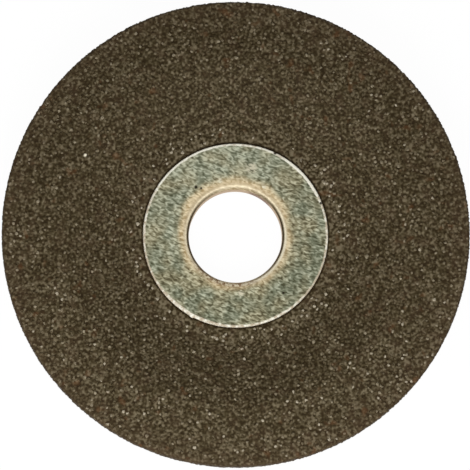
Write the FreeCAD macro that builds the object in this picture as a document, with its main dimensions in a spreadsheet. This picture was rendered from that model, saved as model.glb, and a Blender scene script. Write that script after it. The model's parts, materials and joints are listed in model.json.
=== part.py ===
import FreeCAD, Part
import Sketcher
import math
import os

# A small grinding disc with a depressed centre. The abrasive body is moulded in one piece:
# a flat rim, a cone and a hub of the same thickness that is set back from the working side,
# so that the clamping nut stays below the rim. A pressed steel ring lines the bore: its
# flange lies in a shallow seat in the recess and its neck runs back through the hub.
# Lengths are millimetres. Z is the bore's axis. The hub's back lies on z = 0 and the
# recess opens towards +Z.

SIZES = {
    # the moulded body
    "disc_diameter": 50.0,
    "rim_thickness": 2.5,
    "hub_thickness": 2.5,
    "dish_depth": 2.4,
    "recess_diameter": 37.0,
    "hub_land": 1.7,
    # its bends and edges
    "front_rim_radius": 2.5,
    "front_hub_radius": 3.0,
    "back_rim_radius": 1.5,
    "back_hub_radius": 4.0,
    "rim_edge_bevel": 0.3,
    # the pressed ring in the bore
    "bore_diameter": 10.0,
    "sheet_thickness": 0.5,
    "flange_diameter": 19.8,
    "inside_bend_radius": 0.4,
    "flange_edge_bevel": 0.15,
    # how the ring sits in the body
    "flange_proud": 0.1,
    "flange_clearance": 0.15,
    "neck_clearance": 0.05,
    "bend_clearance": 0.2,
    "neck_setback": 0.1,
}

# Formulas that both pieces share, in the sheet's names
BORE_RADIUS = "Sizes.bore_diameter / 2"
NECK_RADIUS = "(Sizes.bore_diameter / 2 + Sizes.sheet_thickness)"
FLANGE_RADIUS = "Sizes.flange_diameter / 2"
FLANGE_TOP = "(Sizes.hub_thickness + Sizes.flange_proud)"
FLANGE_UNDERSIDE = "(Sizes.hub_thickness + Sizes.flange_proud - Sizes.sheet_thickness)"

# Formulas of the body. The back follows the front at the plate's thickness, so each of its
# bends lies further out by that thickness times the tangent of half the cone's slope.
HOLE_RADIUS = NECK_RADIUS + " + Sizes.neck_clearance"
HOLE_BEVEL = "Sizes.inside_bend_radius + Sizes.bend_clearance"
SEAT_RADIUS = FLANGE_RADIUS + " + Sizes.flange_clearance"
HUB_FLAT_RADIUS = SEAT_RADIUS + " + Sizes.hub_land"
RECESS_RADIUS = "Sizes.recess_diameter / 2"
DISC_HEIGHT = "Sizes.hub_thickness + Sizes.dish_depth"
CONE_WIDTH = "(" + RECESS_RADIUS + " - (" + HUB_FLAT_RADIUS + "))"
HALF_SLOPE = "tan(atan(Sizes.dish_depth / " + CONE_WIDTH + ") / 2)"
BACK_HUB_RADIUS = HUB_FLAT_RADIUS + " + Sizes.hub_thickness * " + HALF_SLOPE
BACK_RIM_RADIUS = RECESS_RADIUS + " + Sizes.rim_thickness * " + HALF_SLOPE
GROUND = "0"

# What a finish calls its size, and how far apart two edges may lie and be the same
SIZE_OF = {"Fillet": "Radius", "Chamfer": "Size"}
SAME_PLACE = 1e-4

doc = FreeCAD.newDocument("grinding_disc")


def make_sheet():
    """The driving sizes, one row each."""
    sheet = doc.addObject("Spreadsheet::Sheet", "Sizes")
    for row, (name, value) in enumerate(SIZES.items(), start=1):
        sheet.set(f"A{row}", name)
        sheet.set(f"B{row}", str(value))
        sheet.setAlias(f"B{row}", name)
    doc.recompute()


def make_body(name):
    """An empty body whose label names its file."""
    body = doc.addObject("PartDesign::Body", name)
    body.Label = name
    body.Placement = FreeCAD.Placement()
    return body


def section(body, corners):
    """A closed outline beside the Z axis, each corner held by its radius and its height."""
    sketch = body.newObject("Sketcher::SketchObject", body.Name + "_section")
    planes = {plane.Role: plane for plane in body.Origin.OriginFeatures}
    sketch.AttachmentSupport = (planes["XZ_Plane"], [""])
    sketch.MapMode = "FlatFace"
    # A round loop gives the corners' order, and the bound distances then place them
    count = len(corners)
    loop = []
    for number in range(count):
        angle = 2 * math.pi * number / count
        loop.append(FreeCAD.Vector(2 - math.cos(angle), 2 - math.sin(angle), 0))
    for number in range(count):
        sketch.addGeometry(Part.LineSegment(loop[number], loop[(number + 1) % count]), False)
    for number in range(count):
        sketch.addConstraint(Sketcher.Constraint("Coincident", number, 2, (number + 1) % count, 1))
    bound = {}
    for number, (name, radius, height) in enumerate(corners):
        place = loop[number]
        across = sketch.addConstraint(
            Sketcher.Constraint("DistanceX", -1, 1, number, 1, place.x))
        sketch.renameConstraint(across, name + "_radius")
        bound[name + "_radius"] = radius
        if height == GROUND:
            sketch.addConstraint(Sketcher.Constraint("PointOnObject", number, 1, -1))
            continue
        up = sketch.addConstraint(
            Sketcher.Constraint("DistanceY", -1, 1, number, 1, place.y))
        sketch.renameConstraint(up, name + "_height")
        bound[name + "_height"] = height
    for name, formula in bound.items():
        sketch.setExpression("Constraints." + name, formula)
    doc.recompute()
    return sketch


def turn(body, sketch):
    """Turn the outline once round the Z axis."""
    turned = body.newObject("PartDesign::Revolution", body.Name + "_turned")
    turned.Profile = sketch
    turned.ReferenceAxis = (sketch, ["V_Axis"])
    turned.Angle = 360.0
    sketch.Visibility = False
    doc.recompute()
    return turned


def swept_edge(body, place):
    """The name of the circular edge that a corner of the outline sweeps."""
    for index, edge in enumerate(body.Tip.Shape.Edges, start=1):
        if edge.Closed and isinstance(edge.Curve, Part.Circle):
            off = abs(edge.Curve.Radius - place.x) + abs(edge.Curve.Center.z - place.y)
            if off < SAME_PLACE:
                return f"Edge{index}"
    raise SystemExit(f"{body.Label} has no edge at {place}")


def finish_corners(body, sketch, corners, finishes):
    """Round or bevel corners of the turned outline, each by its size in the sheet."""
    names = [corner[0] for corner in corners]
    for name, finish, size in finishes:
        place = sketch.Geometry[names.index(name)].StartPoint
        edge = swept_edge(body, place)
        base = body.Tip
        feature = body.newObject("PartDesign::" + finish, f"{body.Name}_{name}_{finish}")
        feature.Base = (base, [edge])
        feature.setExpression(SIZE_OF[finish], size)
        doc.recompute()


def make_disc():
    """The moulded abrasive body: rim, cone, hub, the hole for the neck and the flange's seat."""
    corners = (
        ("hole_back", HOLE_RADIUS, GROUND),
        ("back_hub", BACK_HUB_RADIUS, GROUND),
        ("back_rim", BACK_RIM_RADIUS, DISC_HEIGHT + " - Sizes.rim_thickness"),
        ("rim_back", "Sizes.disc_diameter / 2", DISC_HEIGHT + " - Sizes.rim_thickness"),
        ("rim_front", "Sizes.disc_diameter / 2", DISC_HEIGHT),
        ("front_rim", RECESS_RADIUS, DISC_HEIGHT),
        ("front_hub", HUB_FLAT_RADIUS, "Sizes.hub_thickness"),
        ("seat_mouth", SEAT_RADIUS, "Sizes.hub_thickness"),
        ("seat_floor", SEAT_RADIUS, FLANGE_UNDERSIDE),
        ("hole_front", HOLE_RADIUS, FLANGE_UNDERSIDE),
    )
    body = make_body("abrasive_disc")
    sketch = section(body, corners)
    turn(body, sketch)
    finish_corners(body, sketch, corners, (
        ("front_rim", "Fillet", "Sizes.front_rim_radius"),
        ("front_hub", "Fillet", "Sizes.front_hub_radius"),
        ("back_rim", "Fillet", "Sizes.back_rim_radius"),
        ("back_hub", "Fillet", "Sizes.back_hub_radius"),
        ("rim_front", "Chamfer", "Sizes.rim_edge_bevel"),
        ("rim_back", "Chamfer", "Sizes.rim_edge_bevel"),
        ("hole_front", "Chamfer", HOLE_BEVEL),
    ))
    return body


def make_ring():
    """The steel ring: a flat flange whose inner edge rolls back into a neck round the bore."""
    corners = (
        ("neck_inside", BORE_RADIUS, "Sizes.neck_setback"),
        ("neck_outside", NECK_RADIUS, "Sizes.neck_setback"),
        ("underside_bend", NECK_RADIUS, FLANGE_UNDERSIDE),
        ("flange_underside", FLANGE_RADIUS, FLANGE_UNDERSIDE),
        ("flange_edge", FLANGE_RADIUS, FLANGE_TOP),
        ("face_bend", BORE_RADIUS, FLANGE_TOP),
    )
    body = make_body("centre_ring")
    sketch = section(body, corners)
    turn(body, sketch)
    finish_corners(body, sketch, corners, (
        ("face_bend", "Fillet", "Sizes.inside_bend_radius + Sizes.sheet_thickness"),
        ("underside_bend", "Fillet", "Sizes.inside_bend_radius"),
        ("flange_edge", "Chamfer", "Sizes.flange_edge_bevel"),
    ))
    return body


def check(bodies):
    """Stop if any feature failed or any piece is not one sound solid."""
    for item in doc.Objects:
        if "Invalid" in item.State or "Error" in item.State:
            raise SystemExit(f"{item.Name} failed: {item.State}")
    for body in bodies:
        shape = body.Shape
        if shape.isNull() or not shape.isValid() or len(shape.Solids) != 1:
            raise SystemExit(f"{body.Label} is not one sound solid")
        print(body.Label, "volume", round(shape.Volume, 1), "mm3")


make_sheet()
pieces = [make_disc(), make_ring()]
check(pieces)
os.makedirs("parts", exist_ok=True)
for piece in pieces:
    piece.Shape.exportStep(f"parts/{piece.Label}.step")
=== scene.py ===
import json
import math
from collections import namedtuple

import bmesh
import bpy
from mathutils import Matrix, Vector

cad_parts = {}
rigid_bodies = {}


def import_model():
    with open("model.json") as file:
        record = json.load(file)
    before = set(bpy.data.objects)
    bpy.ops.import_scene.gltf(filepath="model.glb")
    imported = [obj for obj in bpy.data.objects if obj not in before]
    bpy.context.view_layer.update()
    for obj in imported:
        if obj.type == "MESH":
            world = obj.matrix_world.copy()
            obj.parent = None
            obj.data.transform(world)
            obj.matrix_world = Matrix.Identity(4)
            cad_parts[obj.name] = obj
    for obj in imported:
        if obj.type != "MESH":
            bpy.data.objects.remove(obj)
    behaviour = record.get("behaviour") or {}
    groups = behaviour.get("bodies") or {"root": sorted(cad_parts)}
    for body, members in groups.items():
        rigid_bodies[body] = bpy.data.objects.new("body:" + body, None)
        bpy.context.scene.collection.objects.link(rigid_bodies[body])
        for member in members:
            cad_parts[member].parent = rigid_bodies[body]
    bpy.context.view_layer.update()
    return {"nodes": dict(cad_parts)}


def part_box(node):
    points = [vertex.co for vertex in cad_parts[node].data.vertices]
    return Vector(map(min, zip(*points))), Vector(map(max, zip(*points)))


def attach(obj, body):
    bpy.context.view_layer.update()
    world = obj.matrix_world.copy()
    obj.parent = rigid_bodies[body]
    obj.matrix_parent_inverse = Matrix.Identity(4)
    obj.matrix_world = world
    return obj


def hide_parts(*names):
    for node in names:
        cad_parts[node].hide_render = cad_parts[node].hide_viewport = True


# A small grinding disc with a depressed centre: a moulded abrasive body whose grains stand
# out of dark resin, and a pressed steel ring that lines the bore. Lengths are metres. +Z is
# the bore's axis, out of the recess, and directions are degrees from +X towards +Y.

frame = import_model()
MM = 0.001

# Places that the frame gives
DISC_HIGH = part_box("abrasive_disc")[1]
RING_LOW, RING_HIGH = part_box("centre_ring")
DISC_RADIUS = DISC_HIGH.x
DISC_HEIGHT = DISC_HIGH.z
FLANGE_RADIUS = RING_HIGH.x
FLANGE_TOP = RING_HIGH.z
NECK_END = RING_LOW.z

# The ring's pressed sheet, and its place in the body
SHEET = 0.5 * MM
BORE_RADIUS = 5.0 * MM
NECK_RADIUS = BORE_RADIUS + SHEET
SEAT_RADIUS = FLANGE_RADIUS + 0.15 * MM
SEAT_FLOOR = FLANGE_TOP - SHEET
HOLE_RADIUS = NECK_RADIUS + 0.05 * MM
BEND_INSIDE = 0.4 * MM

# The body's plate and its depressed centre
PLATE = 2.5 * MM
HUB_MIDDLE = PLATE / 2
DISH_DEPTH = DISC_HEIGHT - PLATE
HUB_FLAT_RADIUS = SEAT_RADIUS + 1.7 * MM
RECESS_RADIUS = 18.5 * MM


# Selecting and finishing


def deselect_all():
    bpy.ops.object.select_all(action="DESELECT")


def make_active(piece):
    deselect_all()
    piece.select_set(True)
    bpy.context.view_layer.objects.active = piece


def apply_modifiers(piece):
    make_active(piece)
    for modifier in list(piece.modifiers):
        bpy.ops.object.modifier_apply(modifier=modifier.name)


def select_corners(mesh, wanted):
    """Selects the corners of a mesh in edit mode whose places are wanted, and nothing else."""
    bm = bmesh.from_edit_mesh(mesh)
    for vertex in bm.verts:
        vertex.select = wanted(vertex.co)
    bm.select_flush_mode()
    bmesh.update_edit_mesh(mesh)


# Node trees


class Tree:
    """A node tree with short ways to add and join nodes."""

    def __init__(self, tree):
        self.tree = tree

    def add(self, kind, **settings):
        node = self.tree.nodes.new(kind)
        for name, value in settings.items():
            setattr(node, name, value)
        return node

    def feed(self, node, inputs):
        for name, value in inputs.items():
            socket = node.inputs[name]
            if isinstance(value, bpy.types.NodeSocket):
                self.tree.links.new(value, socket)
            else:
                socket.default_value = value
        return node

    def math(self, operation, *values, clamp=False):
        node = self.add("ShaderNodeMath", operation=operation, use_clamp=clamp)
        return self.feed(node, dict(enumerate(values))).outputs[0]

    def product(self, first, *others):
        """All the values multiplied."""
        for other in others:
            first = self.math("MULTIPLY", first, other)
        return first

    def remap(self, value, low, high, to_low=0.0, to_high=1.0):
        node = self.add("ShaderNodeMapRange")
        return self.feed(node, {"Value": value, 1: low, 2: high, 3: to_low, 4: to_high}).outputs[0]

    def split(self, vector):
        """The three parts of a vector."""
        return self.feed(self.add("ShaderNodeSeparateXYZ"), {0: vector}).outputs

    def vector(self, x, y, z=0.0):
        return self.feed(self.add("ShaderNodeCombineXYZ"), {0: x, 1: y, 2: z}).outputs[0]

    def scale(self, vector, amount):
        node = self.add("ShaderNodeVectorMath", operation="SCALE")
        return self.feed(node, {0: vector, "Scale": amount}).outputs[0]

    def noise(self, place, size, detail=2.0, roughness=0.5, distortion=0.0):
        node = self.add("ShaderNodeTexNoise")
        return self.feed(node, {"Vector": place, "Scale": 1 / size, "Detail": detail,
                                "Roughness": roughness, "Distortion": distortion}).outputs[0]

    def cells(self, place, size):
        return self.feed(self.add("ShaderNodeTexVoronoi"), {"Vector": place, "Scale": 1 / size})

    def ramp(self, value, *stops):
        node = self.add("ShaderNodeValToRGB")
        elements = node.color_ramp.elements
        while len(elements) < len(stops):
            elements.new(0.5)
        for element, (position, colour) in zip(elements, stops):
            element.position = position
            element.color = (*colour, 1.0)
        return self.feed(node, {"Fac": value}).outputs["Color"]

    def mix(self, share, first, second):
        """The first colour with a share of the second, each a socket or three numbers."""
        node = self.add("ShaderNodeMix", data_type="RGBA")
        first, second = ((*colour, 1.0) if isinstance(colour, tuple) else colour
                         for colour in (first, second))
        return self.feed(node, {0: share, 6: first, 7: second}).outputs[2]

    # Geometry nodes

    def store(self, geometry, name, value, kind="FLOAT", domain="POINT"):
        """The geometry with a value kept in a named attribute."""
        node = self.add("GeometryNodeStoreNamedAttribute", data_type=kind, domain=domain)
        return self.feed(node, {"Geometry": geometry, "Name": name, "Value": value}).outputs[0]

    def stored(self, name):
        node = self.add("GeometryNodeInputNamedAttribute", data_type="FLOAT")
        return self.feed(node, {"Name": name}).outputs[0]

    def random(self, low, high, seed, kind="FLOAT"):
        node = self.add("FunctionNodeRandomValue", data_type=kind)
        self.feed(node, {"Min": low, "Max": high, "Seed": seed})
        return next(output for output in node.outputs if output.enabled)

    def move(self, geometry, **places):
        """The geometry moved by an Offset or to a Position."""
        return self.feed(self.add("GeometryNodeSetPosition"), {"Geometry": geometry, **places}).outputs[0]

    def surface_place(self):
        return self.add("GeometryNodeInputPosition").outputs[0]

    def surface_normal(self):
        return self.add("GeometryNodeInputNormal").outputs[0]


def new_material(name):
    """A material, its tree, and its one shader."""
    material = bpy.data.materials.new(name)
    material.use_nodes = True
    tree = Tree(material.node_tree)
    shader = material.node_tree.nodes["Principled BSDF"]
    return material, tree, shader


def new_geometry_tree(name):
    group = bpy.data.node_groups.new(name, "GeometryNodeTree")
    group.interface.new_socket(name="Geometry", in_out="INPUT", socket_type="NodeSocketGeometry")
    group.interface.new_socket(name="Geometry", in_out="OUTPUT", socket_type="NodeSocketGeometry")
    tree = Tree(group)
    return group, tree, tree.add("NodeGroupInput"), tree.add("NodeGroupOutput")


def add_geometry_modifier(piece, group):
    modifier = piece.modifiers.new(group.name, "NODES")
    modifier.node_group = group


def axis_distance(tree, place):
    """How far each point lies from the bore's axis, and its height."""
    x, y, z = tree.split(place)
    across = tree.math("SQRT", tree.math("ADD", tree.math("MULTIPLY", x, x), tree.math("MULTIPLY", y, y)))
    return across, z


# The abrasive body

# Its skin's cells, and how far their corners are moved about
BODY_CELL = 0.23 * MM
CELL_WANDER = 0.05 * MM
WANDER_SEED = 3

# The resin's least depth below the solid and its relief, the sizes of its clumps and ripple,
# and the share of the depth that is left at the outline
RESIN_SINK = 0.08 * MM
RESIN_RELIEF = 0.10 * MM
CLUMP = 0.6 * MM
RIPPLE = 0.5 * MM
OUTLINE_SHARE = 0.4

# Margins of the hole, of the seat's wall and of its floor, within which the skin is plain: for
# the relief and the grains, and for the corners that are moved about
PLAIN_MARGINS = (0.15 * MM, 0.02 * MM, 0.3 * MM)
STILL_MARGINS = (0.30 * MM, 0.15 * MM, 0.4 * MM)

# The two sides of the body lie beside each other on its bake map
MAP_SPAN = 2.1 * DISC_RADIUS
MAP_FRONT = 0.25
MAP_BACK = 0.75
WALL_ZONE = 0.4 * MM


def on_front(place):
    """Whether a face belongs to the body's front, which takes the outer wall too."""
    across = math.hypot(place.x, place.y)
    climbed = (across - HUB_FLAT_RADIUS) / (RECESS_RADIUS - HUB_FLAT_RADIUS)
    middle = HUB_MIDDLE + DISH_DEPTH * min(max(climbed, 0.0), 1.0)
    return place.z > middle or across > DISC_RADIUS - WALL_ZONE


def lay_out_body(body):
    """Gives the body a map seen along the axis, on which walls open out by their height."""
    mesh = body.data
    layer = mesh.uv_layers.new(name="OFBake")
    flat = []
    for vertex in mesh.vertices:
        across = math.hypot(vertex.co.x, vertex.co.y)
        spread = (across - vertex.co.z) / across / MAP_SPAN / 2
        flat.append((vertex.co.x * spread, vertex.co.y * spread * 2))
    for face in mesh.polygons:
        shift = MAP_FRONT if on_front(face.center) else MAP_BACK
        for corner in face.loop_indices:
            x, y = flat[mesh.loops[corner].vertex_index]
            layer.data[corner].uv = (shift + x, 0.5 + y)


def copy_of_node(name, new_name):
    """A merged copy of a CAD node's mesh, in an object of its own."""
    mesh = frame["nodes"][name].data.copy()
    mesh.name = new_name
    piece = bpy.data.objects.new(new_name, mesh)
    bpy.context.collection.objects.link(piece)
    mesh.materials.clear()
    make_active(piece)
    bpy.ops.object.mode_set(mode="EDIT")
    bpy.ops.mesh.select_all(action="SELECT")
    bpy.ops.mesh.remove_doubles(threshold=1e-6)
    bpy.ops.object.mode_set(mode="OBJECT")
    return piece


def open_surface(tree, place):
    """1 on the body's bare surface and 0 in the hole and in the flange's seat."""
    hole_margin, seat_margin, floor_margin = PLAIN_MARGINS
    across, height = axis_distance(tree, place)
    outside_hole = tree.math("GREATER_THAN", across, HOLE_RADIUS + hole_margin)
    outside_seat = tree.math("GREATER_THAN", across, SEAT_RADIUS + seat_margin)
    below_seat = tree.math("LESS_THAN", height, SEAT_FLOOR - floor_margin)
    return tree.math("MULTIPLY", outside_hole, tree.math("MAXIMUM", outside_seat, below_seat))


def resin_height(tree, place):
    """The resin's height between the grains, from 0 to 1: round clumps with a fine ripple."""
    clumps = tree.remap(tree.cells(place, CLUMP).outputs["Distance"], 0.15, 0.75, 1.0, 0.0)
    ripple = tree.noise(place, RIPPLE, 1.0)
    return tree.math("ADD", tree.math("MULTIPLY", clumps, 0.6), tree.math("MULTIPLY", ripple, 0.4))


def relief_nodes():
    """Sinks the resin between the grains, and less at the outline, which stays truer."""
    group, tree, start, end = new_geometry_tree("resin_relief")
    place = tree.surface_place()
    hollow = tree.math("SUBTRACT", 1.0, resin_height(tree, place))
    sink = tree.math("MULTIPLY_ADD", hollow, RESIN_RELIEF, RESIN_SINK)
    across = axis_distance(tree, place)[0]
    trued = tree.remap(across, DISC_RADIUS - 0.7 * MM, DISC_RADIUS - 0.2 * MM, 1.0, OUTLINE_SHARE)
    sink = tree.product(sink, trued, open_surface(tree, place), -1.0)
    sunk = tree.move(start.outputs[0], Offset=tree.scale(tree.surface_normal(), sink))
    tree.feed(end, {0: sunk})
    return group


def is_open(place):
    """Whether a point lies on the body's bare surface, clear of the hole and the seat."""
    hole_margin, seat_margin, floor_margin = STILL_MARGINS
    across = math.hypot(place.x, place.y)
    if place.z < SEAT_FLOOR - floor_margin:
        return across > HOLE_RADIUS + hole_margin
    return across > SEAT_RADIUS + seat_margin


def divide_skin(body):
    """Divides the body's skin into even cells, then moves their corners about a little."""
    remesh = body.modifiers.new("even_skin", "REMESH")
    remesh.mode = "VOXEL"
    remesh.voxel_size = BODY_CELL
    apply_modifiers(body)
    bpy.ops.object.mode_set(mode="EDIT")
    bpy.ops.mesh.select_mode(type="VERT")
    select_corners(body.data, is_open)
    bpy.ops.transform.vertex_random(offset=CELL_WANDER, uniform=1.0, normal=0.0, seed=WANDER_SEED)
    bpy.ops.object.mode_set(mode="OBJECT")


def make_body():
    """The moulded body, its skin divided finely enough to carry the relief of the resin."""
    body = copy_of_node("abrasive_disc", "abrasive_body")
    divide_skin(body)
    add_geometry_modifier(body, relief_nodes())
    apply_modifiers(body)
    for vertex in body.data.vertices:
        vertex.co.z = max(vertex.co.z, 0.0)
    bpy.ops.object.shade_smooth()
    lay_out_body(body)
    return body


# Its grains

# The first crystal's seed, and how far apart the seeds of two grades are
FIRST_CRYSTAL_SEED = 11
GRADE_SEEDS = 20


def make_crystal(name, crystals, start_shape, unevenness, seed):
    """One broken grain of unit size, from a plain shape whose corners are moved about."""
    deselect_all()
    start_shape()
    crystal = bpy.context.object
    crystal.name = name
    bpy.ops.object.mode_set(mode="EDIT")
    bpy.ops.mesh.select_all(action="SELECT")
    bpy.ops.transform.vertex_random(offset=unevenness, uniform=1.0, normal=0.0, seed=seed)
    bpy.ops.object.mode_set(mode="OBJECT")
    longest = max(vertex.co.length for vertex in crystal.data.vertices)
    bpy.ops.transform.resize(value=(1 / longest,) * 3)
    bpy.ops.object.transform_apply(location=True, rotation=True, scale=True)
    for collection in crystal.users_collection:
        collection.objects.unlink(crystal)
    crystals.objects.link(crystal)


def make_crystals(name, shapes):
    """A few broken grains to scatter, kept out of sight in a collection of their own."""
    crystals = bpy.data.collections.new(name)
    for number, (start_shape, unevenness) in enumerate(shapes):
        seed = FIRST_CRYSTAL_SEED + number
        make_crystal(f"{name}_{number}", crystals, start_shape, unevenness, seed)
    return crystals


def discard(crystals):
    for crystal in list(crystals.objects):
        bpy.data.objects.remove(crystal)
    bpy.data.collections.remove(crystals)


def five_sided():
    bpy.ops.mesh.primitive_uv_sphere_add(segments=5, ring_count=2, radius=1.0)


def block():
    bpy.ops.mesh.primitive_cube_add(size=1.2)


def nugget():
    bpy.ops.mesh.primitive_ico_sphere_add(subdivisions=1, radius=1.0)


def worn_flat(tree, grains):
    """Wears off what would stand out of the moulded outline, so that such grains end flat."""
    place = tree.surface_place()
    x, y, height = tree.split(place)
    across = axis_distance(tree, place)[0]
    share = tree.math("MINIMUM", tree.math("DIVIDE", DISC_RADIUS, across), 1.0)
    height = tree.math("MINIMUM", tree.math("MAXIMUM", height, 0.0), DISC_HEIGHT)
    inside = tree.vector(tree.math("MULTIPLY", x, share), tree.math("MULTIPLY", y, share), height)
    return tree.move(grains, Position=inside)


# A grade of grain: its crystals, spacing, smallest and largest radius, darkest and palest tone
Grade = namedtuple("Grade", "crystals spacing smallest largest darkest palest")

# How deep a grain sits, as a share of its radius and beyond that
GRAIN_SETTING = 0.60
DEEPER_AT_MOST = 0.05 * MM

# The share of its radius that a grain keeps along each of its axes, at the least, the most
# grains that are tried on a square metre, and how far up a place faces to be in front
LEAST_STRETCH = 0.8
TRIED_AT_MOST = 5e7
FACING_UP = 0.3


def seated_points(tree, surface, wanted, grade, seed):
    """Evenly scattered places for one grade's grains, below the surface, and the grains' sizes."""
    points = tree.add("GeometryNodeDistributePointsOnFaces", distribute_method="POISSON")
    tree.feed(points, {"Mesh": surface, "Distance Min": grade.spacing, "Density Max": TRIED_AT_MOST,
                       "Seed": seed, "Selection": wanted})
    radius = tree.random(grade.smallest, grade.largest, seed + 1)
    sized = tree.store(points.outputs["Points"], "grit_size", radius)
    size = tree.stored("grit_size")
    depth = tree.math("MULTIPLY_ADD", size, GRAIN_SETTING, tree.random(0.0, DEEPER_AT_MOST, seed + 2))
    inward = tree.scale(points.outputs["Normal"], tree.math("MULTIPLY", depth, -1.0))
    return tree.move(sized, Offset=inward), size


def scatter(tree, surface, wanted, grade, seed):
    """Sets one grade of crystals into the surface, each with a random turn, size and tone."""
    points, size = seated_points(tree, surface, wanted, grade, seed)
    turn = tree.random((0, 0, 0), (math.tau,) * 3, seed + 3, "FLOAT_VECTOR")
    stretches = [tree.math("MULTIPLY", size, tree.random(LEAST_STRETCH, 1.0, seed + 4 + axis))
                 for axis in range(3)]
    source = tree.add("GeometryNodeCollectionInfo")
    tree.feed(source, {"Collection": grade.crystals, "Separate Children": True, "Reset Children": True})
    placed = tree.add("GeometryNodeInstanceOnPoints")
    tree.feed(placed, {"Points": points, "Instance": source.outputs[0], "Pick Instance": True,
                       "Rotation": turn, "Scale": tree.vector(*stretches)})
    tone = tree.random(grade.darkest, grade.palest, seed + 8)
    return tree.store(placed.outputs[0], "grit_tone", tone, domain="INSTANCE")


# The grains' bake map has rows of squares, one for each grain: how many to a row, and how far
# a grain reaches from the middle of its square
GRAINS_ACROSS_MAP = 125
GRAIN_REACH = 0.36


def lay_out_grains(tree, grains):
    """Gives each grain a cell of its own on the bake map, in rows."""
    number = tree.stored("grain_number")
    row = tree.math("FLOOR", tree.math("DIVIDE", tree.math("ADD", number, 0.5), GRAINS_ACROSS_MAP))
    column = tree.math("SUBTRACT", number, tree.math("MULTIPLY", row, GRAINS_ACROSS_MAP))
    x, y = tree.split(tree.surface_normal())[:2]
    cell = []
    for place, lean in ((column, x), (row, y)):
        inside = tree.math("MULTIPLY_ADD", lean, GRAIN_REACH, tree.math("ADD", place, 0.5))
        cell.append(tree.math("DIVIDE", inside, GRAINS_ACROSS_MAP))
    corner = tree.add("GeometryNodeFieldOnDomain", data_type="FLOAT_VECTOR", domain="POINT")
    tree.feed(corner, {"Value": tree.vector(*cell)})
    return tree.store(grains, "OFBake", corner.outputs[0], "FLOAT2", "CORNER")


def grit_nodes(name, front, grades, seed):
    """All grades of crystals on one side of the body, of which the back takes the outer wall."""
    group, tree, start, end = new_geometry_tree(name)
    facing = tree.split(tree.surface_normal())[2]
    side = tree.math("GREATER_THAN" if front else "LESS_THAN", facing, FACING_UP)
    wanted = tree.math("MULTIPLY", side, open_surface(tree, tree.surface_place()))
    together = tree.add("GeometryNodeJoinGeometry")
    for number, grade in enumerate(grades):
        grains = scatter(tree, start.outputs[0], wanted, grade, seed + GRADE_SEEDS * number)
        tree.feed(together, {0: grains})
    number = tree.add("GeometryNodeInputIndex").outputs[0]
    numbered = tree.store(together.outputs[0], "grain_number", number, domain="INSTANCE")
    real = tree.feed(tree.add("GeometryNodeRealizeInstances"), {0: numbered})
    tree.feed(end, {0: lay_out_grains(tree, worn_flat(tree, real.outputs[0]))})
    return group


def make_grit(name, front, grades, seed):
    """The grains that stand out of one side of the body."""
    grit = copy_of_node("abrasive_disc", name)
    add_geometry_modifier(grit, grit_nodes(name, front, grades, seed))
    apply_modifiers(grit)
    return grit


# The steel ring

RING_STEPS = 300
LONGEST_EDGE = 0.14 * MM

# The corners of its section: radius, height, how far each is rounded, and in how many steps
RING_SECTION = (
    (BORE_RADIUS, NECK_END, 0.05 * MM, 4),
    (NECK_RADIUS, NECK_END, 0.05 * MM, 4),
    (NECK_RADIUS, SEAT_FLOOR, BEND_INSIDE, 12),
    (FLANGE_RADIUS, SEAT_FLOOR, 0.08 * MM, 4),
    (FLANGE_RADIUS, FLANGE_TOP, 0.12 * MM, 4),
    (BORE_RADIUS, FLANGE_TOP, BEND_INSIDE + SHEET, 12),
)

# The small burr on the flange's edge, at the lower left: its place, and how far it stands out
BURR = Vector((-4.66 * MM, -8.74 * MM, 0.0))
BURR_REACH = 0.16 * MM
BURR_HEIGHT = 0.12 * MM


def draw_section(mesh):
    """Sets the six corners of a flat outline to those of the ring's section, and rounds them."""
    bm = bmesh.from_edit_mesh(mesh)
    bm.verts.ensure_lookup_table()
    for index, (radius, height, rounding, steps) in enumerate(RING_SECTION):
        bm.verts[index].co = Vector((radius, 0.0, height))
    bmesh.update_edit_mesh(mesh)
    for radius, height, rounding, steps in RING_SECTION:
        corner = Vector((radius, 0.0, height))
        select_corners(mesh, lambda place: (place - corner).length < 1e-7)
        bpy.ops.mesh.bevel(offset=rounding, segments=steps, affect="VERTICES")


def divide_long_edges(mesh):
    """Cuts the outline's long straight edges into equal short ones."""
    for cuts in (63, 31, 15, 7, 3, 1):
        bm = bmesh.from_edit_mesh(mesh)
        for edge in bm.edges:
            edge.select = edge.calc_length() > LONGEST_EDGE * (cuts + 1) * 0.75
        chosen = any(edge.select for edge in bm.edges)
        bmesh.update_edit_mesh(mesh)
        if chosen:
            bpy.ops.mesh.subdivide(number_cuts=cuts)


def at_burr(place):
    """Whether a point lies on the upper part of the flange's edge, beside the burr."""
    flat = Vector((place.x, place.y, 0.0))
    on_edge = flat.length > FLANGE_RADIUS - 0.08 * MM and place.z > FLANGE_TOP - 0.2 * MM
    return on_edge and (flat - BURR).length < BURR_REACH


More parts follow.
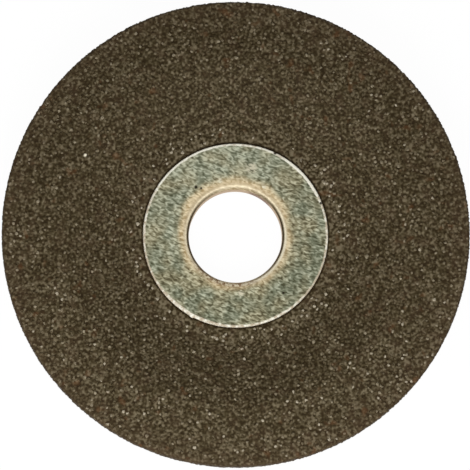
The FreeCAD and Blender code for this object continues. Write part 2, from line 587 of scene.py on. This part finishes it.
def make_ring():
    """The ring: its section's outline is drawn, its corners rounded, and it is spun once round."""
    deselect_all()
    bpy.ops.mesh.primitive_circle_add(vertices=len(RING_SECTION), radius=FLANGE_RADIUS, fill_type="NGON")
    ring = bpy.context.object
    ring.name = "steel_ring"
    bpy.ops.object.mode_set(mode="EDIT")
    bpy.ops.mesh.select_mode(type="VERT")
    draw_section(ring.data)
    bpy.ops.mesh.select_all(action="SELECT")
    bpy.ops.mesh.delete(type="ONLY_FACE")
    divide_long_edges(ring.data)
    bpy.ops.mesh.select_all(action="SELECT")
    bpy.ops.mesh.spin(steps=RING_STEPS, angle=math.tau, center=(0, 0, 0), axis=(0, 0, 1))
    bpy.ops.mesh.select_all(action="SELECT")
    bpy.ops.mesh.remove_doubles(threshold=1e-6)
    bpy.ops.mesh.normals_make_consistent(inside=False)
    select_corners(ring.data, at_burr)
    bpy.ops.transform.translate(value=BURR.normalized() * BURR_HEIGHT)
    bpy.ops.object.mode_set(mode="OBJECT")
    bpy.ops.object.shade_smooth()
    return ring


# Finishes


class Spot:
    """A point of a surface as its finish reads it, with its distance from the bore's axis."""

    def __init__(self, tree):
        self.tree = tree
        self.place = tree.add("ShaderNodeTexCoord").outputs["Object"]
        self.x, self.y, self.z = tree.split(self.place)
        self.across = axis_distance(tree, self.place)[0]

    def towards(self, degrees, low, high, start=0.0, end=1.0):
        """From the start to the end value as the point's direction from the axis nears the
        given one. Low and high are cosines of the angle between the two directions."""
        turn = math.radians(degrees)
        ahead = self.tree.math("MULTIPLY", self.y, math.sin(turn))
        ahead = self.tree.math("MULTIPLY_ADD", self.x, math.cos(turn), ahead)
        return self.tree.remap(self.tree.math("DIVIDE", ahead, self.across), low, high, start, end)

    def near(self, mark, inner, outer):
        """1 within the inner distance of a mark, and 0 past the outer one."""
        away = self.tree.add("ShaderNodeVectorMath", operation="DISTANCE")
        self.tree.feed(away, {0: self.place, 1: mark})
        return self.tree.remap(away.outputs["Value"], inner, outer, 1.0, 0.0)


# Finishes of the body

# The one pale grain in the body's front, at the upper left of the recess's edge
PALE_GRAIN = (-16.08 * MM, 8.30 * MM, 4.7 * MM)

STAIN = (0.098, 0.055, 0.031)
RUST_SPOT = (0.135, 0.055, 0.018)
PALE_CRYSTAL = (0.97, 0.90, 0.70)


def dust_and_shade(tree, spot, on_hub):
    """Brighter on the hub, where pale dust has settled, with painted shade in the gap round the flange
    and darker at the outline. Painted light makes the lower side a little brighter than the top."""
    across = spot.across
    behind = tree.math("LESS_THAN", spot.z, HUB_MIDDLE)
    # The hub's back counts as far out, since no dust settles there
    far_out = tree.math("MULTIPLY_ADD", behind, 4 * DISC_RADIUS, across)
    hub = tree.remap(far_out, 10.6 * MM, 12.2 * MM, on_hub, 1.0)
    # Painted shade in the gap round the flange
    gap = tree.remap(across, SEAT_RADIUS, SEAT_RADIUS + 0.10 * MM, 0.62, 1.0)
    gap = tree.math("MAXIMUM", gap, behind)
    slope = tree.remap(across, HUB_FLAT_RADIUS, RECESS_RADIUS - 1.5 * MM, 1.02, 0.985)
    rim = tree.remap(across, RECESS_RADIUS - 1.0 * MM, RECESS_RADIUS + 0.5 * MM, 1.0, 1.035)
    edge = tree.remap(across, DISC_RADIUS - 0.32 * MM, DISC_RADIUS - 0.04 * MM, 1.0, 0.65)
    # Painted light: the lower side a little brighter than the top
    lower = tree.remap(spot.y, -DISC_RADIUS, DISC_RADIUS, 1.015, 0.97)
    patches = tree.remap(tree.noise(spot.place, 4.0 * MM), 0.3, 0.7, 0.985, 1.015)
    return tree.product(hub, gap, slope, rim, edge, lower, patches)


def stained(tree, spot, colour):
    """The colour with faint reddish stains, a few rust spots, and the one pale grain."""
    clouds = tree.remap(tree.noise(spot.place, 1.5 * MM), 0.50, 0.70, 0.0, 0.20)
    edge = tree.remap(spot.across, DISC_RADIUS - 3.0 * MM, DISC_RADIUS - 0.5 * MM, 0.0, 0.13)
    colour = tree.mix(tree.math("ADD", clouds, edge), colour, STAIN)
    rust = tree.remap(tree.noise(spot.place, 1.3 * MM, 1.0), 0.67, 0.77, 0.0, 0.4)
    colour = tree.mix(rust, colour, RUST_SPOT)
    return tree.mix(spot.near(PALE_GRAIN, 0.11 * MM, 0.25 * MM), colour, PALE_CRYSTAL)


def resin_finish():
    """Dark resin with paler spots where grains lie just under it."""
    material, tree, shader = new_material("bonded_abrasive")
    spot = Spot(tree)
    cells = tree.cells(spot.place, 0.42 * MM)
    shade = tree.feed(tree.add("ShaderNodeSeparateColor"), {0: cells.outputs["Color"]}).outputs[0]
    buried = tree.math("MULTIPLY", tree.remap(cells.outputs["Distance"], 0.15, 0.6, 0.3, 0.0), shade)
    fine = tree.math("ADD", tree.noise(spot.place, 0.31 * MM, 0.3), buried)
    colour = tree.ramp(
        tree.math("MULTIPLY", fine, dust_and_shade(tree, spot, 1.15)),
        (0.34, (0.027, 0.0155, 0.0026)),
        (0.50, (0.049, 0.0340, 0.0113)),
        (0.64, (0.096, 0.0733, 0.0364)),
        (0.80, (0.180, 0.1450, 0.0860)),
    )
    bump = tree.add("ShaderNodeBump")
    tree.feed(bump, {"Strength": 0.6, "Distance": 0.06 * MM, "Height": fine})
    tree.feed(shader, {"Base Color": stained(tree, spot, colour), "Roughness": 0.75,
                       "Specular IOR Level": 0.2, "Normal": bump.outputs[0]})
    return material


def grit_finish():
    """Broken grains, from dark and brown to pale and glassy."""
    material, tree, shader = new_material("abrasive_grit")
    spot = Spot(tree)
    tone = tree.add("ShaderNodeAttribute", attribute_name="grit_tone").outputs["Fac"]
    colour = tree.ramp(
        tree.math("MULTIPLY", tone, dust_and_shade(tree, spot, 1.35)),
        (0.00, (0.034, 0.0205, 0.0050)),
        (0.40, (0.069, 0.0500, 0.0220)),
        (0.75, (0.124, 0.0960, 0.0525)),
        (0.92, (0.205, 0.1680, 0.1060)),
        (0.99, (0.310, 0.2620, 0.1780)),
        (1.00, (0.440, 0.3850, 0.2850)),
    )
    tree.feed(shader, {"Base Color": stained(tree, spot, colour), "Roughness": 0.65,
                       "Specular IOR Level": 0.15})
    return material


# Finish of the ring

# Dark pits in the ring's face and nicks in its edge: place, and radius
RING_PITS = (
    (-4.25 * MM, 5.18 * MM, 0.17 * MM),
    (-3.68 * MM, 5.07 * MM, 0.12 * MM),
    (5.10 * MM, -6.19 * MM, 0.13 * MM),
    (4.24 * MM, 8.87 * MM, 0.16 * MM),
    (9.13 * MM, 3.49 * MM, 0.15 * MM),
)

# Paler spots of the ring's face: place, and radius
BRIGHT_SPOTS = (
    (2.94 * MM, 5.24 * MM, 0.30 * MM),
    (-1.66 * MM, 5.90 * MM, 0.28 * MM),
    (1.70 * MM, 7.27 * MM, 0.55 * MM),
    (0.60 * MM, -6.20 * MM, 0.30 * MM),
)

# Bands round the bore, as millimetres from its wall: where each begins and is whole, and where
# it starts to fade and ends
BEND_BORDER = (0.95, 1.20, 1.20, 1.50)
CREST = (0.12, 0.32, 0.38, 0.62)
BEND_SHADE_BAND = (0.36, 0.50, 0.62, 0.84)
LIP_CRUMBS = (0.08, 0.16, 0.40, 0.75)
LIP_SHADE_BAND = (0.01, 0.04, 0.17, 0.32)

# The ring's colours where its plating is worn, rusty or dirty, and its painted highlights and shade
CREST_HIGHLIGHT = (1.0, 0.93, 0.72)
BEND_SHADE_COLOUR = (0.40, 0.31, 0.18)
PALE_SPOT_STEEL = (0.93, 0.87, 0.66)
SHADED_EDGE = (0.56, 0.47, 0.34)
GLINTING_EDGE = (1.0, 0.97, 0.83)
RUST_CRUMB = (0.30, 0.165, 0.070)
LINING_BROWN = (0.50, 0.36, 0.225)
LINING_RUST = (0.25, 0.145, 0.085)
LIP_SHADE_COLOUR = (0.055, 0.038, 0.016)
PIT = (0.03, 0.022, 0.012)

# The rolled grain's place, from x and y: along the rolling, where it is drawn out, and across it
ALONG_ROLL = (0.62, -0.23)
ACROSS_ROLL = (0.43, 1.18)


def by_the_bore(tree, reach, fades, ends, top=1.0):
    """The top value next to the bore, and 0 further out. It fades between two distances from
    the bore's wall, in millimetres."""
    return tree.remap(reach, BORE_RADIUS + fades * MM, BORE_RADIUS + ends * MM, top, 0.0)


def bore_band(tree, reach, band, top=1.0):
    """One of the bands round the bore, with the top value where it is whole."""
    begins, whole, fades, ends = band
    rising = tree.remap(reach, BORE_RADIUS + begins * MM, BORE_RADIUS + whole * MM)
    return tree.math("MULTIPLY", rising, by_the_bore(tree, reach, fades, ends, top))


def marked(tree, spot, marks):
    """1 inside the given round marks of the ring's face."""
    inside = 0.0
    for x, y, radius in marks:
        mark = spot.near((x, y, FLANGE_TOP), radius * 0.6, radius * 1.3)
        inside = tree.math("MAXIMUM", inside, mark)
    return inside


def rolled_grain(tree, spot):
    """The sheet's fine grain, drawn out along the direction in which it was rolled."""
    along, across = (tree.math("MULTIPLY_ADD", spot.x, part_x, tree.math("MULTIPLY", spot.y, part_y))
                     for part_x, part_y in (ALONG_ROLL, ACROSS_ROLL))
    return tree.noise(tree.vector(along, across, spot.z), 0.32 * MM, 0.25, distortion=0.7)


def bend_reach(tree, spot, patch):
    """The distance from the axis as the bend's border sees it, which wanders and lies wider above."""
    wandering = tree.math("MULTIPLY_ADD", tree.math("SUBTRACT", patch, 0.5), 1.5 * MM, spot.across)
    return tree.math("ADD", wandering, spot.towards(116.6, -1.0, 1.0, 0.157 * MM, -0.157 * MM))


def face_tone(tree, spot, speck, patch, reach):
    """How pale the ring's flat face is: its grain and patches, paler round the bend, with a darker line
    at the bend's border, and painted light that makes it paler above and darker to the right."""
    tone = tree.math("MULTIPLY_ADD", speck, 0.64, tree.math("MULTIPLY_ADD", patch, 0.12, 0.120))
    # Painted light: paler above, darker to the right, and palest at the top
    tone = tree.math("MULTIPLY_ADD", spot.y, 0.030 / FLANGE_RADIUS, tone)
    tone = tree.math("MULTIPLY_ADD", spot.x, -0.017 / FLANGE_RADIUS, tone)
    tone = tree.math("ADD", tone, spot.towards(90, 0.6, 1.0, 0.0, 0.035))
    tone = tree.math("MULTIPLY_ADD", bore_band(tree, reach, BEND_BORDER), -0.035, tone)
    return tree.math("ADD", tone, by_the_bore(tree, spot.across, 1.4, 2.8, 0.026))


def plated_face(tree, spot, tone):
    """Green-grey zinc, tarnished to beige in clouds and towards the bore."""
    clouds = tree.remap(tree.noise(spot.place, 1.6 * MM, 0.5), 0.36, 0.70)
    near_bore = by_the_bore(tree, spot.across, 0.7, 2.0, 1.1)
    tarnish = tree.math("MULTIPLY", tree.math("ADD", clouds, near_bore), 0.7, clamp=True)
    zinc = tree.ramp(
        tone,
        (0.33, (0.110, 0.111, 0.059)),
        (0.46, (0.262, 0.281, 0.184)),
        (0.54, (0.400, 0.415, 0.290)),
        (0.70, (0.780, 0.810, 0.620)),
    )
    beige = tree.ramp(
        tone,
        (0.36, (0.165, 0.133, 0.068)),
        (0.50, (0.440, 0.385, 0.224)),
        (0.67, (0.860, 0.805, 0.560)),
    )
    return tree.mix(tarnish, zinc, beige)


def bare_bend(tree, spot, speck):
    """Bare steel, its paleness partly a painted reflection, with a painted highlight along the bend's
    crest and painted shade in a band of its upper part.
    """
    bare = tree.ramp(
        speck,
        (0.30, (0.50, 0.365, 0.180)),
        (0.50, (0.735, 0.600, 0.370)),
        (0.70, (0.93, 0.785, 0.52)),
    )
    # Painted highlight along the bend's crest, strongest at the lower right
    crest = tree.math("MULTIPLY", bore_band(tree, spot.across, CREST),
                      spot.towards(-31, 0.257, 0.943, 0.5, 1.0))
    bare = tree.mix(crest, bare, CREST_HIGHLIGHT)
    # Painted shade in a band of the bend's upper part
    bend_shade = tree.math("MULTIPLY", bore_band(tree, spot.across, BEND_SHADE_BAND, 0.55), spot.towards(90, -0.4, 0.6))
    return tree.mix(bend_shade, bare, BEND_SHADE_COLOUR)


def with_pale_spots(tree, spot, speck, colour):
    """The colour with its paler spots."""
    share = tree.product(marked(tree, spot, BRIGHT_SPOTS), tree.remap(speck, 0.32, 0.52), 0.9)
    return tree.mix(share, colour, PALE_SPOT_STEEL)


def crumbed(tree, spot, in_front, colour):
    """The colour with rusty crumbs along the lower part of the bore's lip."""
    crumbs = tree.remap(tree.noise(spot.place, 0.34 * MM, 1.0), 0.48, 0.56)
    lip = tree.math("MULTIPLY", bore_band(tree, spot.across, LIP_CRUMBS), spot.towards(254, 0.72, 0.90))
    return tree.mix(tree.product(lip, crumbs, in_front, 0.9), colour, RUST_CRUMB)


def edge_wear_and_glint(tree, spot):
    """Where the flange's edge is worn bare, and its colour there, which carries a painted highlight. It is
    brightest at the upper right and left, wide at the upper right and lower left, narrow at the left and
    lower right."""
    right = spot.towards(42, 0.94, 0.985)
    upper = tree.math("MAXIMUM", right, spot.towards(125, 0.86, 0.97))
    wide = tree.math("MAXIMUM", right, spot.towards(240, 0.90, 0.985))
    narrow = tree.math("MAXIMUM", spot.towards(200, 0.93, 0.99), spot.towards(330, 0.93, 0.99))
    width = tree.math("MULTIPLY_ADD", wide, 0.09 * MM, tree.math("MULTIPLY", narrow, -0.05 * MM))
    width = tree.math("MULTIPLY_ADD", tree.noise(spot.place, 0.5 * MM), 0.20 * MM, width)
    reach = tree.math("ADD", spot.across, width)
    line = tree.remap(reach, FLANGE_RADIUS - 0.19 * MM, FLANGE_RADIUS - 0.08 * MM)
    # Painted highlight: brighter towards the top and at the upper right and left, dimmer at the left and
    # lower right
    level = spot.towards(90, 0.2, 0.7, 0.38, 0.78)
    shade = tree.math("MULTIPLY_ADD", upper, 0.50, tree.math("MULTIPLY_ADD", narrow, -0.35, level))
    uneven = tree.remap(tree.noise(spot.place, 0.38 * MM, 1.0), 0.3, 0.7, -0.65, 0.65)
    shade = tree.math("ADD", shade, uneven, clamp=True)
    return line, tree.mix(shade, SHADED_EDGE, GLINTING_EDGE)


def bore_lining(tree, spot):
    """The brown of the neck's inside, rusty at the upper right."""
    return tree.mix(spot.towards(58, 0.953, 0.983), LINING_BROWN, LINING_RUST)


def lip_shade(tree, spot, in_front):
    """How much painted shade darkens the bore's lip, most of it at the left and the right."""
    sideways = tree.math("DIVIDE", tree.math("ABSOLUTE", spot.x), spot.across)
    share = tree.remap(sideways, 0.2, 0.95, 0.35, 1.0)
    return tree.product(bore_band(tree, spot.across, LIP_SHADE_BAND), share, in_front)


def ring_finish():
    """Zinc-plated steel, dull and speckled, bare at its bend and its edge, with painted highlights there
    and painted shade under the bore's lip.
    """
    material, tree, shader = new_material("ring_steel")
    spot = Spot(tree)
    in_front = tree.math("GREATER_THAN", spot.z, FLANGE_TOP - BEND_INSIDE - SHEET)
    speck = rolled_grain(tree, spot)
    patch = tree.noise(spot.place, 2.6 * MM, 1.5)
    reach = bend_reach(tree, spot, patch)
    bend = tree.math("MULTIPLY", by_the_bore(tree, reach, 0.70, 1.36), in_front)
    wall = by_the_bore(tree, spot.across, 0.01, 0.04)
    edge, edge_colour = edge_wear_and_glint(tree, spot)
    lip_darkening = lip_shade(tree, spot, in_front)
    face = plated_face(tree, spot, face_tone(tree, spot, speck, patch, reach))
    colour = tree.mix(bend, face, bare_bend(tree, spot, speck))
    colour = with_pale_spots(tree, spot, speck, colour)
    colour = crumbed(tree, spot, in_front, colour)
    colour = tree.mix(edge, colour, edge_colour)
    colour = tree.mix(wall, colour, bore_lining(tree, spot))
    # Painted shade under the bore's lip
    colour = tree.mix(lip_darkening, colour, LIP_SHADE_COLOUR)
    colour = tree.mix(marked(tree, spot, RING_PITS), colour, PIT)
    dull = tree.math("MULTIPLY", bend, tree.math("SUBTRACT", 1.0, wall))
    metal = tree.product(tree.remap(dull, 0.0, 1.0, 0.85, 0.35), tree.remap(edge, 0.0, 1.0, 1.0, 0.1),
                         tree.math("SUBTRACT", 1.0, lip_darkening))
    bump = tree.add("ShaderNodeBump")
    tree.feed(bump, {"Strength": 0.2, "Distance": 0.03 * MM, "Height": speck})
    tree.feed(shader, {
        "Base Color": colour,
        "Metallic": metal,
        "Specular IOR Level": tree.remap(lip_darkening, 0.0, 1.0, 0.5, 0.05),
        "Roughness": tree.remap(tree.math("MAXIMUM", dull, edge), 0.0, 1.0, 0.55, 0.68),
        "Normal": bump.outputs[0],
    })
    return material


# The setting

# How the picture is taken: pixels to the millimetre and across, the sensor's width and the
# camera's distance in millimetres, which way it leans, and what it looks at
PIXELS_PER_MM = 9.37
PICTURE_WIDTH = 470
SENSOR_WIDTH = 36.0
CAMERA_AWAY = 700
LEAN_DOWN = math.radians(7.0)
LEAN_LEFT = math.radians(1.2)
AIM = Vector((-0.09 * MM, -0.14 * MM, 4.0 * MM))

# The floor: its width, its gap below the disc, its white, and the share of that white which
# the disc's shadow leaves as it is
FLOOR_WIDTH = 6.0
FLOOR_GAP = 0.02 * MM
FLOOR_WHITE = 1.02
FLOOR_UNSHADED = 0.95


def make_floor():
    """A white floor: bright to the camera, and still darkened by the object's shadow."""
    deselect_all()
    bpy.ops.mesh.primitive_plane_add(size=FLOOR_WIDTH, location=(0, 0, -FLOOR_GAP))
    floor = bpy.context.object
    floor.name = "floor"
    material = bpy.data.materials.new("pale_floor")
    material.use_nodes = True
    tree = Tree(material.node_tree)
    material.node_tree.nodes.clear()
    path = tree.add("ShaderNodeLightPath")
    seen = tree.math("MAXIMUM", path.outputs["Is Camera Ray"], path.outputs["Is Glossy Ray"])
    seen = tree.math("MAXIMUM", seen, path.outputs["Is Transmission Ray"])
    paper = tree.feed(tree.add("ShaderNodeBsdfDiffuse"), {"Color": (0.85, 0.85, 0.85, 1.0)})
    white = tree.feed(tree.add("ShaderNodeEmission"), {"Strength": FLOOR_WHITE})
    both = tree.add("ShaderNodeMixShader")
    tree.feed(both, {0: tree.math("MULTIPLY", seen, FLOOR_UNSHADED),
                     1: paper.outputs[0], 2: white.outputs[0]})
    end = tree.add("ShaderNodeOutputMaterial")
    tree.feed(end, {"Surface": both.outputs[0]})
    floor.data.materials.append(material)


def make_world():
    """Soft light from all round, brighter low down than overhead."""
    world = bpy.data.worlds.new("studio")
    bpy.context.scene.world = world
    world.use_nodes = True
    tree = Tree(world.node_tree)
    direction = tree.add("ShaderNodeTexCoord").outputs["Generated"]
    sky = tree.ramp(
        tree.split(direction)[2],
        (0.0, (0.95, 0.95, 0.95)),
        (0.5, (0.50, 0.50, 0.50)),
        (0.8, (0.27, 0.27, 0.27)),
        (1.0, (0.20, 0.20, 0.20)),
    )
    tree.feed(world.node_tree.nodes["Background"], {"Color": sky, "Strength": 1.25})


def add_softbox(name, place, target, size, power):
    deselect_all()
    bpy.ops.object.light_add(type="AREA", location=place)
    lamp = bpy.context.object
    lamp.name = name
    lamp.data.shape = "RECTANGLE"
    lamp.data.size, lamp.data.size_y = size
    lamp.data.energy = power
    lamp.visible_camera = False
    aim = Vector(target) - Vector(place)
    lamp.rotation_euler = aim.to_track_quat("-Z", "Y").to_euler()


def add_camera():
    """A long lens above the disc, leaning a little to the lower left."""
    away = Vector((-math.sin(LEAN_LEFT), -math.sin(LEAN_DOWN), math.cos(LEAN_DOWN))).normalized()
    deselect_all()
    bpy.ops.object.camera_add(location=AIM + away * (CAMERA_AWAY * MM))
    camera = bpy.context.object
    right = Vector((0, 1, 0)).cross(away).normalized()
    up = away.cross(right)
    camera.rotation_euler = Matrix((right, up, away)).transposed().to_euler()
    camera.data.sensor_width = SENSOR_WIDTH
    camera.data.lens = PIXELS_PER_MM * CAMERA_AWAY * SENSOR_WIDTH / PICTURE_WIDTH
    camera.data.clip_start = 0.01
    camera.data.clip_end = 20.0
    bpy.context.scene.camera = camera


# The whole disc in its setting


def dress(piece, finish):
    piece.data.materials.clear()
    piece.data.materials.append(finish)
    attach(piece, "root")


resin = resin_finish()
grit = grit_finish()
steel = ring_finish()

body = make_body()
dress(body, resin)
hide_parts("abrasive_disc")

fine_crystals = make_crystals("fine_crystal", ((five_sided, 0.3),) * 5)
coarse_crystals = make_crystals("coarse_crystal", ((block, 0.35), (nugget, 0.3)) * 3)

GRADES = (
    Grade(fine_crystals, 0.430 * MM, 0.195 * MM, 0.270 * MM, 0.15, 1.0),
    Grade(coarse_crystals, 0.95 * MM, 0.20 * MM, 0.27 * MM, 0.3, 1.0),
)
dress(make_grit("front_grit", front=True, grades=GRADES, seed=5), grit)
dress(make_grit("back_grit", front=False, grades=GRADES, seed=105), grit)
discard(fine_crystals)
discard(coarse_crystals)

ring = make_ring()
dress(ring, steel)
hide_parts("centre_ring")

make_floor()
make_world()
add_softbox("near_softbox", place=(-0.01, -0.104, 0.104), target=(0, 0, 0), size=(0.12, 0.09), power=0.15)
add_camera()
bpy.context.scene.view_settings.view_transform = "Standard"
